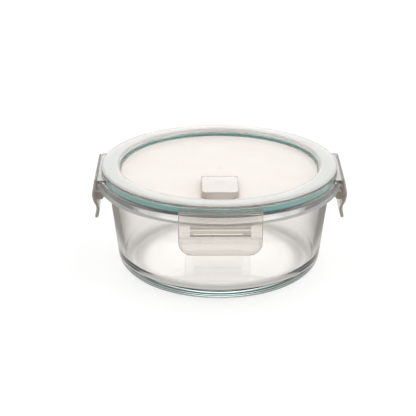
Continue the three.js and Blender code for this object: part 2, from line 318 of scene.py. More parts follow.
class Bench:
    """A material's node tree, with short ways to add to it."""

    def __init__(self, name: str) -> None:
        """Starts an empty material of that name with an output and a principled shader."""
        self.material = bpy.data.materials.new(name)
        self.material.use_nodes = True
        self.tree = self.material.node_tree
        self.tree.nodes.clear()
        self.output = self.tree.nodes.new("ShaderNodeOutputMaterial")
        self.shader = self.add("ShaderNodeBsdfPrincipled")
        self.link(self.shader.outputs[0], self.output.inputs["Surface"])

    def add(self, kind: str, **settings: object) -> bpy.types.Node:
        """Adds a node and sets its own properties."""
        node = self.tree.nodes.new(kind)
        for key, value in settings.items():
            setattr(node, key, value)
        return node

    def link(self, source: bpy.types.NodeSocket, target: bpy.types.NodeSocket) -> None:
        """Joins two sockets."""
        self.tree.links.new(source, target)

    def set(self, **values: object) -> None:
        """Sets constants on the principled shader; an underscore in a name stands for a space."""
        for key, value in values.items():
            socket = self.shader.inputs[key.replace("_", " ")]
            socket.default_value = (*value, 1.0) if isinstance(value, tuple) and len(value) == 3 else value

    def place(self) -> bpy.types.NodeSocket:
        """The point on the piece, in metres."""
        return self.add("ShaderNodeTexCoord").outputs["Object"]

    def noise(self, scale: float, detail: float = 2.0, roughness: float = 0.5) -> bpy.types.NodeSocket:
        """Cloudy noise from 0 to 1, with so many lumps to the metre."""
        node = self.add("ShaderNodeTexNoise")
        node.inputs["Scale"].default_value = scale
        node.inputs["Detail"].default_value = detail
        node.inputs["Roughness"].default_value = roughness
        self.link(self.place(), node.inputs["Vector"])
        return node.outputs["Fac"]

    def between(self, source: bpy.types.NodeSocket, low: float, high: float) -> bpy.types.NodeSocket:
        """Noise spread from low to high."""
        node = self.add("ShaderNodeMapRange")
        node.inputs["From Min"].default_value = 0.3
        node.inputs["From Max"].default_value = 0.7
        node.inputs["To Min"].default_value = low
        node.inputs["To Max"].default_value = high
        self.link(source, node.inputs["Value"])
        return node.outputs["Result"]

    def ramp(self, source: bpy.types.NodeSocket, start: float, end: float) -> bpy.types.NodeSocket:
        """A smooth climb from 0 to 1 as the source goes from start to end."""
        node = self.add("ShaderNodeMapRange", interpolation_type="SMOOTHSTEP")
        node.inputs["From Min"].default_value = start
        node.inputs["From Max"].default_value = end
        self.link(source, node.inputs["Value"])
        return node.outputs["Result"]

    def tint(self, source: bpy.types.NodeSocket, first: Colour, second: Colour) -> bpy.types.NodeSocket:
        """A colour between two, by noise."""
        ramp = self.add("ShaderNodeValToRGB")
        ramp.color_ramp.elements[0].position = 0.3
        ramp.color_ramp.elements[0].color = (*first, 1.0)
        ramp.color_ramp.elements[1].position = 0.7
        ramp.color_ramp.elements[1].color = (*second, 1.0)
        self.link(source, ramp.inputs["Fac"])
        return ramp.outputs["Color"]

    def bump(self, height: bpy.types.NodeSocket, depth: float) -> bpy.types.NodeSocket:
        """A bumped normal whose hills stand depth metres high."""
        node = self.add("ShaderNodeBump")
        node.inputs["Strength"].default_value = 1.0
        node.inputs["Distance"].default_value = depth
        self.link(height, node.inputs["Height"])
        return node.outputs["Normal"]


@dataclass(frozen=True)
class PressedGlass:
    """Clear oven glass: polished, a little wavy, green where the light travels far through it.

    Attributes:
        body: Its colour.
        absorbed: The colour that it absorbs toward.
        density: How strongly it absorbs.
        wave: The height of its waves, in metres.
        haze: The share of light that the pressed rim scatters.
        haze_heights: The heights between which the haze comes in, in metres.
    """

    body: Colour = (0.99, 0.985, 0.98)
    absorbed: Colour = (0.5, 0.8, 0.78)
    density: float = 5.0
    wave: float = 0.00004
    haze: float = 0.2
    haze_heights: tuple[float, float] = (0.0552, 0.0562)

    def material(self) -> bpy.types.Material:
        """Builds the material."""
        bench = Bench("pressed_glass")
        bench.set(Base_Color=self.body, IOR=1.474, Transmission_Weight=1.0, Roughness=0.0)
        bench.link(bench.between(bench.noise(60.0), 0.0, 0.03), bench.shader.inputs["Roughness"])
        bench.link(bench.bump(bench.noise(38.0, 1.0), self.wave), bench.shader.inputs["Normal"])
        apart = bench.add("ShaderNodeSeparateXYZ")
        bench.link(bench.place(), apart.inputs[0])
        clear = bench.between(bench.ramp(apart.outputs["Z"], *self.haze_heights), 1.0, 1.0 - self.haze)
        bench.link(clear, bench.shader.inputs["Transmission Weight"])
        inside = bench.add("ShaderNodeVolumeAbsorption")
        inside.inputs["Color"].default_value = (*self.absorbed, 1.0)
        inside.inputs["Density"].default_value = self.density
        bench.link(inside.outputs[0], bench.output.inputs["Volume"])
        return bench.material


@dataclass(frozen=True)
class Polypropylene:
    """Natural polypropylene, from clear to milky.

    Attributes:
        name: The material's name.
        body: Its colour in the thick.
        second: The colour that it drifts to.
        clear: The share of light that goes straight through, 0 to 1.
        gloss: The lowest and highest roughness.
        grain_scale: Grains to the metre.
        grain: The height of its grain, in metres.
        milk: The share of light scattered inside.
    """

    name: str
    body: Colour
    second: Colour
    clear: float
    gloss: tuple[float, float] = (0.0, 0.04)
    grain_scale: float = 300.0
    grain: float = 0.00001
    milk: float = 0.0

    def material(self) -> bpy.types.Material:
        """Builds the material the first time, and finds it again after that."""
        if self.name in bpy.data.materials:
            return bpy.data.materials[self.name]
        bench = Bench(self.name)
        bench.set(IOR=1.49, Transmission_Weight=self.clear, Subsurface_Weight=self.milk)
        bench.shader.inputs["Subsurface Radius"].default_value = (0.004, 0.0035, 0.003)
        bench.shader.inputs["Subsurface Scale"].default_value = 1.0
        bench.link(bench.tint(bench.noise(45.0), self.body, self.second), bench.shader.inputs["Base Color"])
        bench.link(bench.between(bench.noise(140.0), *self.gloss), bench.shader.inputs["Roughness"])
        grain = bench.noise(self.grain_scale, 3.0, 0.6)
        bench.link(bench.bump(grain, self.grain), bench.shader.inputs["Normal"])
        return bench.material


@dataclass(frozen=True)
class Silicone:
    """Translucent teal silicone rubber with a soft satin skin, with shade painted in a dark teal at the outer
    rib's foot.

    Attributes:
        body: Its colour.
        second: The colour that it drifts to.
        deep: The dark colour painted at the outer rib's foot as shade.
        deep_heights: The heights between which the painted shade fades, in metres.
        deep_radii: The distances from the axis between which the painted shade comes in.
    """

    body: Colour = (0.26, 0.94, 0.88)
    second: Colour = (0.34, 0.97, 0.94)
    # Dark teal painted at the outer rib's foot as shade.
    deep: Colour = (0.0, 0.13, 0.14)
    deep_heights: tuple[float, float] = (0.0623, 0.063)
    deep_radii: tuple[float, float] = (0.0725, 0.0728)

    def material(self) -> bpy.types.Material:
        """Builds the material."""
        bench = Bench("teal_silicone")
        bench.set(IOR=1.41, Transmission_Weight=0.5, Subsurface_Weight=0.3)
        bench.shader.inputs["Subsurface Radius"].default_value = (0.001, 0.003, 0.003)
        bench.shader.inputs["Subsurface Scale"].default_value = 1.0
        apart = bench.add("ShaderNodeSeparateXYZ")
        bench.link(bench.place(), apart.inputs[0])
        flat = bench.add("ShaderNodeCombineXYZ")
        bench.link(apart.outputs["X"], flat.inputs["X"])
        bench.link(apart.outputs["Y"], flat.inputs["Y"])
        radius = bench.add("ShaderNodeVectorMath", operation="LENGTH")
        bench.link(flat.outputs[0], radius.inputs[0])
        # Painted shade: the colour darkens to a dark teal low down at the outer rib's foot.
        low = bench.ramp(apart.outputs["Z"], *reversed(self.deep_heights))
        outside = bench.ramp(radius.outputs["Value"], *self.deep_radii)
        both = bench.add("ShaderNodeMath", operation="MULTIPLY")
        bench.link(low, both.inputs[0])
        bench.link(outside, both.inputs[1])
        rib_shade_mix = bench.add("ShaderNodeMixRGB")
        rib_shade_mix.inputs["Color2"].default_value = (*self.deep, 1.0)
        bench.link(both.outputs[0], rib_shade_mix.inputs["Fac"])
        bench.link(bench.tint(bench.noise(70.0, 4.0), self.body, self.second), rib_shade_mix.inputs["Color1"])
        bench.link(rib_shade_mix.outputs["Color"], bench.shader.inputs["Base Color"])
        bench.link(bench.between(bench.noise(300.0), 0.28, 0.42), bench.shader.inputs["Roughness"])
        bench.link(bench.bump(bench.noise(1800.0, 2.0), 0.00001), bench.shader.inputs["Normal"])
        return bench.material


class Finish(Enum):
    """The finishes of the plastic pieces; two of them are darker copies that paint shade."""

    PANEL = Polypropylene(
        "milky_panel", (0.94, 0.86, 0.79), (0.96, 0.89, 0.83), 0.0, (0.38, 0.5), 2600.0, 0.00002, 0.25
    )
    RIM = Polypropylene("satin_rim", (0.94, 0.89, 0.85), (0.95, 0.91, 0.87), 0.45, (0.08, 0.14), 900.0)
    SKIRT = Polypropylene("clear_skirt", (0.95, 0.93, 0.91), (0.97, 0.95, 0.93), 0.94)
    CLEAR = Polypropylene("latch_clear", (0.85, 0.82, 0.78), (0.88, 0.85, 0.81), 0.9)
    # A darker copy of the clear plastic that paints the shade seen along the latches' edges, lip and hook bar.
    EDGE = Polypropylene("plastic_edge_painted_shade", (0.4, 0.35, 0.3), (0.46, 0.41, 0.36), 0.3, (0.08, 0.16))
    FLAP = Polypropylene("flap_top", (0.86, 0.79, 0.75), (0.88, 0.82, 0.78), 0, (0.3, 0.4), 900.0, milk=0.25)
    # A darker copy of the flap's top that paints the shade on the flap's walls, its round back and the lid's
    # ears.
    WALL = Polypropylene("flap_wall_painted_shade", (0.6, 0.53, 0.48), (0.65, 0.58, 0.53), 0.1, (0.15, 0.25), 900.0)


# ------------------------------------------------------------------ bowl


@dataclass
class GlassBowl:
    """The pressed bowl, from foot ring to ledge rim.

    Attributes:
        rim_radius: Outside radius of the rim, in millimetres, as are the rest.
        rim_top: Height of the land that the seal presses on.
        ledge: Height of the rim's underside.
        wall: Thickness of the wall.
        wall_at_foot: Radius of the outer wall line carried down to the foot plane.
        lean: Outward run of the wall for each millimetre up.
        outer_corner: Radius that rounds the outer wall into the foot.
        inner_corner: Radius that rounds the inner wall into the floor.
        floor: Height of the inside floor.
        foot_inner: Inner radius of the ring that the bowl stands on.
        hollow: Height of the shallow hollow inside that ring, at its middle.
        rim_draft: How much narrower the rim is at its top than at its widest.
    """

    rim_radius: float
    rim_top: float
    ledge: float = 56.1
    wall: float = 4.0
    wall_at_foot: float = 64.09
    lean: float = 0.1174
    outer_corner: float = 11.0
    inner_corner: float = 9.0
    floor: float = 6.5
    foot_inner: float = 49.0
    hollow: float = 1.2
    rim_draft: float = 1.1

    @classmethod
    def from_frame(cls) -> "GlassBowl":
        """The bowl at the size of its CAD node."""
        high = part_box("glass_bowl")[1]
        return cls(rim_radius=high.x / MM, rim_top=high.z / MM)

    def corner(self, wall_at_zero: float, floor: float, radius: float) -> Points:
        """The arc that rounds a leaning wall into a flat floor, from the floor up."""
        height = floor + radius
        across = wall_at_zero + self.lean * height - radius * math.hypot(1, self.lean)
        return arc((across, height), radius, -90, -math.degrees(math.atan(self.lean)), 22)

    def outline(self) -> Points:
        """The section of the glass, from the middle of the foot out, over the rim and in to the floor."""
        inner_at_zero = self.wall_at_foot - self.wall * math.hypot(1, self.lean)
        mouth = inner_at_zero + self.lean * self.rim_top
        ledge_root = self.wall_at_foot + self.lean * self.ledge
        lip, edge, root = 0.9, 1.3, 1.0
        top_radius = self.rim_radius - self.rim_draft
        share = np.linspace(0, 1, 25)
        return joined(
            np.stack([self.foot_inner * share, self.hollow * (1 - share**2) ** 1.5], axis=1),
            self.corner(self.wall_at_foot, 0.0, self.outer_corner),
            arc((ledge_root + root, self.ledge - root), root, 173, 90, 6),
            arc((self.rim_radius - lip, self.ledge + lip), lip, -90, 8, 8),
            arc((top_radius - edge, self.rim_top - edge), edge, 12, 90, 8),
            arc((mouth + edge, self.rim_top - edge), edge, 90, 187, 8),
            self.corner(inner_at_zero, self.floor, self.inner_corner)[::-1],
            [(0, self.floor)],
        )

    def build(self) -> bpy.types.Object:
        """Makes the bowl, dresses it and puts it on its body."""
        piece = new_object("bowl_glass", turned(evenly(self.outline(), 3.0)))
        smooth(piece)
        piece.data.materials.append(PressedGlass().material())
        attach(piece, "bowl")
        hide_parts("glass_bowl")
        report(piece)
        return piece


# ------------------------------------------------------------------ lid


@dataclass
class Lid:
    """The lid moulding: panel, rim, skirt, centring ring, hinge lugs and vent seat.

    Attributes:
        top: Height of the rim's top, in millimetres, as are the rest.
        lug_face: Distance of a lug's flat front from the axis.
        plug_foot: Height of the centring ring's foot.
        radius: Outside radius of the skirt.
        skirt: Thickness of the skirt.
        skirt_foot: Height of the skirt's foot.
        panel_top: Height of the recessed panel.
        panel: Thickness of the panel.
        lug_top: Height of a lug's top.
        lug: Thickness of a lug.
        lug_width: Width of a lug.
    """

    top: float
    lug_face: float
    plug_foot: float
    radius: float = 75.1
    skirt: float = 1.7
    skirt_foot: float = 62.0
    panel_top: float = 64.4
    panel: float = 1.6
    channel_inner: float = 65.2
    channel_top: float = 66.1
    plug_inner: float = 64.4
    plug_outer: float = 66.4
    recess: float = 63.0
    recess_shoulder: float = 3.0
    recess_fillet: float = 1.6
    shoulder: float = 1.8
    lug_top: float = 65.6
    lug: float = 2.2
    lug_width: float = 50.0
    vent_y: float = -38.0
    vent_hole: float = 1.9
    vent_boss: float = 4.6
    vent_rise: float = 0.6

    @classmethod
    def from_frame(cls) -> "Lid":
        """The lid at the size of its CAD node."""
        low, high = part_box("lid")
        return cls(top=high.z / MM, lug_face=high.x / MM, plug_foot=low.z / MM)

    def outline(self) -> Points:
        """The section of the moulding, from the middle of its underside, round the channel and back on top."""
        underside = self.panel_top - self.panel
        inner_skirt = self.radius - self.skirt
        shoulder_centre = (self.recess + self.recess_shoulder, self.top - self.recess_shoulder)
        fillet_centre = (self.recess - self.recess_fillet, self.panel_top + self.recess_fillet)
        tip = 0.6
        return joined(
            [(0, underside)],
            arc((self.plug_inner - 1.0, underside - 1.0), 1.0, 90, 0, 5),
            arc((self.plug_inner + tip, self.plug_foot + tip), tip, 180, 270, 5),
            arc((self.plug_outer - tip, self.plug_foot + tip), tip, 270, 360, 5),
            [(self.plug_outer, 61.8), (self.channel_inner, 62.3)],
            arc((self.channel_inner + 0.5, self.channel_top - 0.5), 0.5, 180, 90, 4),
            arc((inner_skirt - 0.5, self.channel_top - 0.5), 0.5, 90, 0, 4),
            arc((inner_skirt + 0.35, self.skirt_foot + 0.35), 0.35, 180, 270, 4),
            arc((self.radius - 0.5, self.skirt_foot + 0.5), 0.5, 270, 360, 5),
            arc((self.radius - self.shoulder, self.top - self.shoulder), self.shoulder, 0, 90, 12),
            arc(shoulder_centre, self.recess_shoulder, 90, 180, 14),
            arc(fillet_centre, self.recess_fillet, 0, -90, 8),
            [(1.7, self.panel_top), (1.35, self.panel_top - 0.3), (0.8, self.panel_top - 0.3)],
            arc((0.0, self.panel_top - 0.55), 0.62, 15, 90, 5),
        )

    def lug_block(self) -> Surface:
        """One hinge lug at the front: the slab between the round skirt and a flat face, with rounded ends."""
        half = self.lug_width / 2
        root = self.radius - 0.7
        reach = math.degrees(math.asin(half / root))
        inner = arc((0, 0), root, -90 + reach, -90 - reach, 24)
        face = -self.lug_face
        ends = joined(
            arc((-half + 0.5, face + 0.5), 0.5, 180, 270, 3),
            arc((half - 0.5, face + 0.5), 0.5, 270, 360, 3),
        )
        return pushed(joined(inner, ends), 2, self.lug_top - self.lug, self.lug_top)

    def dress(self, piece: bpy.types.Object) -> None:
        """Gives the panel, the rim's top, the clear walls and the vent's ears their finishes, face by face; the
        ears take the flap's darker wall finish, which paints shade.
        """
        for finish in (Finish.PANEL, Finish.RIM, Finish.SKIRT, Finish.WALL):
            piece.data.materials.append(finish.value.material())
        centres, normals = face_frames(piece.data)
        radius = np.hypot(centres[:, 0], centres[:, 1])
        panel = (radius < self.recess - 0.6) & (centres[:, 2] > self.panel_top - self.panel - 0.1)
        rim = (normals[:, 2] > 0.45) & (centres[:, 2] > self.top - self.shoulder) & ~panel
        # The ears take the darker wall finish: painted shade.
        ears = panel & (centres[:, 2] > self.panel_top + self.vent_rise + 0.3)
        index = np.select([ears, panel, rim], [3, 0, 1], 2).astype(np.int32)
        piece.data.polygons.foreach_set("material_index", index)

    def build(self) -> bpy.types.Object:
        """Makes the lid, dresses it and puts it on its body."""
        ring = arc((0, self.vent_y), self.vent_boss, 0, 360, 48)[:-1]
        bore = arc((0, self.vent_y), self.vent_hole, 0, 360, 32)[:-1]
        boss = pushed(ring, 2, self.panel_top - 0.4, self.panel_top + self.vent_rise)
        hole = pushed(bore, 2, self.panel_top - self.panel - 1, self.panel_top + self.vent_rise + 1)
        lugs = [self.lug_block().quarter_turned(side) for side in range(4)]
        ears = VentFlap.from_frame().ears(self.panel_top)
        piece = new_object("lid_moulding", turned(evenly(self.outline(), 4.0)))
        piece = reworked(piece, [*lugs, boss, *ears], [hole])
        smooth(piece)
        self.dress(piece)
        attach(piece, "lid")
        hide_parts("lid")
        report(piece)
        return piece


# ------------------------------------------------------------------ seal


@dataclass
class SealRing:
    """The soft ring in the lid's channel.

    Attributes:
        outer: Outside radius, in millimetres, as are the rest.
        foot: Height of its ribs' feet.
        top: Height of its top.
        inner: Inside radius.
        rib_height: How far the ribs stand down.
        rib: The middle radius of the inner rib.
        rib_half: Half its width.
        outer_rib: The inner radius of the outer rib, which is flush with the ring's outside.
    """

    outer: float
    foot: float
    top: float
    inner: float = 65.5
    rib_height: float = 0.7
    rib: float = 69.4
    rib_half: float = 0.7
    outer_rib: float = 71.8

    @classmethod
    def from_frame(cls) -> "SealRing":
        """The ring at the size of its CAD node."""
        low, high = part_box("seal_ring")
        return cls(outer=high.x / MM, foot=low.z / MM, top=high.z / MM)

    def outline(self) -> Points:
        """The section, once round: two round-footed ribs below, soft corners above."""
        floor = self.foot + self.rib_height
        soft, toe = 0.6, 0.45
        return joined(
            [(self.inner, floor)],
            arc((self.rib, self.foot + self.rib_half), self.rib_half, 200, 340, 8),
            [(self.outer_rib - 0.4, floor)],
            arc((self.outer_rib + toe, self.foot + toe), toe, 190, 270, 5),
            arc((self.outer - toe, self.foot + toe), toe, 270, 360, 5),
            arc((self.outer - soft, self.top - soft), soft, 0, 90, 6),
            arc((self.inner + soft, self.top - soft), soft, 90, 180, 6),
            [(self.inner, floor)],
        )

    def build(self) -> bpy.types.Object:
        """Makes the ring, dresses it and puts it on its body."""
        piece = new_object("seal_silicone", turned(evenly(self.outline(), 2.0)))
        smooth(piece)
        piece.data.materials.append(Silicone().material())
        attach(piece, "lid")
        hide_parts("seal_ring")
        report(piece)
        return piece


# ------------------------------------------------------------------ latches


class Side(Enum):
    """The four latches, by quarter turns from the front."""

    FRONT = 0
    RIGHT = 1
    BACK = 2
    LEFT = 3

    @property
    def word(self) -> str:
        """The side's name as the CAD bodies spell it."""
        return self.name.lower()


@dataclass
class Latch:
    """One latch plate with its hook bar and the thin web that hinges it to the lid.

    Attributes:
        side: Which of the four it is.
        width: Its width, in millimetres, as are the rest.
        foot: Its lowest point.
        thickness: The plate's thickness.
        corner: Radius of its lower corners.
        hinge_radius: Distance of its hinge line from the lid's axis.
        hinge_top: Height of the hinge line.
        web: Thickness of the hinge web.
        bead: How far the rounded bead round the lip stands out.
        bead_width: The bead's width.
        hook_half: Half the hook bar's length.
        hook_top: Height of the hook bar's top.
        hook_foot: Height of its foot.
        hook_tip: Distance of its tip from the lid's axis.
    """

    side: Side
    width: float
    foot: float
    thickness: float = 1.6
    corner: float = 8.0
    hinge_radius: float = 76.45
    hinge_top: float = 65.6
    web: float = 0.4
    bead: float = 0.22
    bead_width: float = 2.0
    hook_half: float = 18.0
    hook_top: float = 55.4
    hook_foot: float = 50.4
    hook_tip: float = 72.0

    @classmethod
    def from_frame(cls, side: Side) -> "Latch":
        """The latch at the size of its CAD node."""
        low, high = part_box(f"{side.word}_latch")
        return cls(side=side, width=max(high.x - low.x, high.y - low.y) / MM, foot=low.z / MM)

    def path(self, steps: int) -> tuple[Points, Points]:
        """The middle of the plate from hinge to lip: a smooth curve through a few points.

        Each stretch is the cubic that leaves every point along the line between its neighbours.

        Args:
            steps: How many points to return.

        Returns:
            Points of (distance from the axis, height) along the curve, crowded towards both ends, and the
            outward normal at each.
        """
        knots = np.array(
            [
                (76.75, 65.26),
                (77.28, 64.9),
                (77.55, 63.9),
                (78.1, 60.6),
                (78.9, 56.2),
                (78.2, 52.0),
                (76.7, 48.8),
                (76.2, 45.8),
                (76.8, 42.6),
                (77.8, self.foot + 0.1),
            ]
        )
        padded = np.vstack([knots[:1], knots, knots[-1:]])
        share = np.linspace(0, 1, 60, endpoint=False)[:, None, None]
        before, first, second, after = (padded[k : k + len(knots) - 1] for k in range(4))
        fine = 0.5 * (
            2 * first
            + (second - before) * share
            + (2 * before - 5 * first + 4 * second - after) * share**2
            + (3 * first - before - 3 * second + after) * share**3
        )
        fine = np.vstack([fine.transpose(1, 0, 2).reshape(-1, 2), knots[-1:]])
        travelled = np.concatenate([[0], np.cumsum(np.linalg.norm(np.diff(fine, axis=0), axis=1))])
        wanted = np.linspace(0, travelled[-1], steps)
        wanted = self.crowded(wanted / travelled[-1]) * travelled[-1]
        middle = np.stack([np.interp(wanted, travelled, fine[:, k]) for k in range(2)], axis=1)
        along = np.gradient(middle, wanted, axis=0)
        along /= np.linalg.norm(along, axis=1, keepdims=True)
        return middle, np.stack([-along[:, 1], along[:, 0]], axis=1)

    @staticmethod
    def crowded(share: Points) -> Points:
        """Even shares from 0 to 1 crowded towards both ends, by mixing in a half wave, for round edges."""
        return 0.25 * share + 0.75 * (1 - np.cos(np.pi * share)) / 2

    def half_thickness(self, inset: Points, down: Points, lip: Points) -> Points:
        """Half the plate's thickness: round at its edge, thin at the hinge, and beaded round the lip.

        The edge is a quarter ellipse over half the thickness; the bead is a raised half wave along the edge.

        Args:
            inset: Distance in from the plate's outline.
            down: Distance down the plate from its hinge.
            lip: 1 at the lip, 0 above it.

        Returns:
            The half thickness at each point.
        """
        full = self.thickness / 2
        reach = np.clip(inset / full, 0, 1)
        edge = np.sqrt(np.clip(1 - (1 - reach) ** 2, 0, 1))
        thin = self.web / 2 + (full - self.web / 2) * np.clip(down / 1.4, 0, 1) ** 0.7
        across = np.clip(inset / self.bead_width, 0, 1)
        bead = self.bead * np.sin(np.pi * across) ** 0.8 * (inset < self.bead_width) * lip
        return thin * edge + bead

    def plate(self) -> Surface:
        """The plate: a face on either side of the path, half the thickness away, that meet at the edge."""
        rows, columns = 90, 97
        middle, normal = self.path(rows)
        travelled = np.concatenate([[0], np.cumsum(np.linalg.norm(np.diff(middle, axis=0), axis=1))])
        total = travelled[-1]
        across = 2 * self.crowded(np.linspace(0, 1, columns)) - 1
        centre = total - self.corner
        drop = np.clip(travelled - centre, 0, self.corner)
        half_width = self.width / 2 - self.corner + np.sqrt(np.maximum(self.corner**2 - drop**2, 0))
        half_width = np.maximum(half_width, self.width / 2 - self.corner)
        side = across[None, :] * half_width[:, None]
        past_x = np.abs(side) - (self.width / 2 - self.corner)
        past_s = (travelled - centre)[:, None]
        in_corner = (past_x > 0) & (past_s > 0)
        round_inset = self.corner - np.hypot(np.maximum(past_x, 0), np.maximum(past_s, 0))
        straight_inset = np.minimum(self.width / 2 - np.abs(side), total - travelled[:, None])
        inset = np.maximum(np.where(in_corner, round_inset, straight_inset), 0)
        inset[-1] = 0
        inset[:, [0, -1]] = 0
        lip = np.clip((travelled - 0.62 * total) / (0.1 * total), 0, 1)[:, None]
        half = self.half_thickness(inset, travelled[:, None], lip)
        faces = []
        for sign in (1, -1):
            out = middle[:, None, :] + sign * half[..., None] * normal[:, None, :]
            faces.append(np.stack([side, -out[..., 0], out[..., 1]], axis=-1))
        return self.closed(*faces)

    @staticmethod
    def closed(front: Points, back: Points) -> Surface:
        """Two grids with the same edge made one closed surface, with the hinge end bridged between them."""
        rows, columns = front.shape[:2]
        outer = Surface.grid(front)
        inner = Surface.grid(back)
        both = outer.plus(Surface(inner.points, inner.quads[:, ::-1], inner.triangles))
        top = np.arange(columns)
        low = top + rows * columns
        bridge = np.stack([top[1:], top[:-1], low[:-1], low[1:]], axis=1)
        return Surface(both.points, np.vstack([both.quads, bridge]), both.triangles)

    def hook(self) -> Surface:
        """The hook bar: a wedge section with soft corners, pushed along the latch."""
        section = np.array(
            [
                (78.5, self.hook_top),
                (self.hook_tip + 0.5, self.hook_top),
                (self.hook_tip, self.hook_top - 0.5),
                (self.hook_tip, self.hook_top - 1.8),
                (self.hook_tip + 0.3, self.hook_top - 2.4),
                (self.hook_tip + 1.5, self.hook_foot + 0.4),
                (self.hook_tip + 2.3, self.hook_foot),
                (77.3, self.hook_foot),
            ]
        )
        return pushed(section * (-1, 1), 0, -self.hook_half, self.hook_half)

    def web_strip(self) -> Surface:
        """The hinge web: a strip from the lug to the plate with a shallow trough along its top and bottom."""
        across = np.linspace(-1, 1, 13)
        from_axis = self.hinge_radius + across * 0.3
        trough = 0.12 * (1 - across**2)
        top = self.hinge_top - 0.06 - trough
        low = self.hinge_top - 0.06 - self.web - 0.12 + trough
        section = np.vstack([np.stack([-from_axis, top], 1), np.stack([-from_axis, low], 1)[::-1]])
        return pushed(section, 0, 0.3 - self.width / 2, self.width / 2 - 0.3)

    def dress(self, piece: bpy.types.Object, finishes: list[bpy.types.Material]) -> None:
        """Paints shade on the plate's edge with a darker finish than its faces, by the way that each face
        looks.

        Args:
            piece: The plate.
            finishes: The clear plastic, and its darker copy that paints shade where the plate is seen edge-on.
        """
        for finish in finishes:
            piece.data.materials.append(finish)
        centres, normals = face_frames(piece.data)
        turn = math.radians(90 * self.side.value)
        outward = np.array([math.sin(turn), -math.cos(turn), 0.0])
        aside = np.array([math.cos(turn), math.sin(turn), 0.0])
        from_axis = centres @ outward
        height, rise = centres[:, 2], normals[:, 2]
        # Faces seen edge-on, under the lip and on the hook bar's flats take the darker copy: painted shade.
        ends = np.abs(normals @ aside) > 0.45
        lip = (rise < -0.55) & (height < self.foot + 9)
        bar = (np.abs(rise) > 0.8) & (from_axis < self.hinge_radius) & (height < self.hook_top + 0.1)
        piece.data.polygons.foreach_set("material_index", (ends | lip | bar).astype(np.int32))

    def build(self, finishes: list[bpy.types.Material]) -> list[bpy.types.Object]:
        """Makes the latch and its web, dresses them, and puts the latch on its body.

        Args:
            finishes: The clear plastic, and its darker copy that paints shade where the plate is seen edge-on.

        Returns:
            The plate and the web.
        """
        word, turn = self.side.word, self.side.value
        plate = self.plate().quarter_turned(turn)
        hook = self.hook().quarter_turned(turn)
        piece = new_object(f"{word}_latch_plate", plate)
        weld(piece)
        piece = reworked(piece, [hook], [])
        smooth(piece, 28.0)
        self.dress(piece, finishes)
        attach(piece, f"{word}_latch")
        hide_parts(f"{word}_latch")
        web = new_object(f"{word}_hinge_web", self.web_strip().quarter_turned(turn))
        smooth(web)
        web.data.materials.append(finishes[0])
        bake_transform(web)
        report(piece)
        report(web)
        return [piece, web]


# ------------------------------------------------------------------ vent


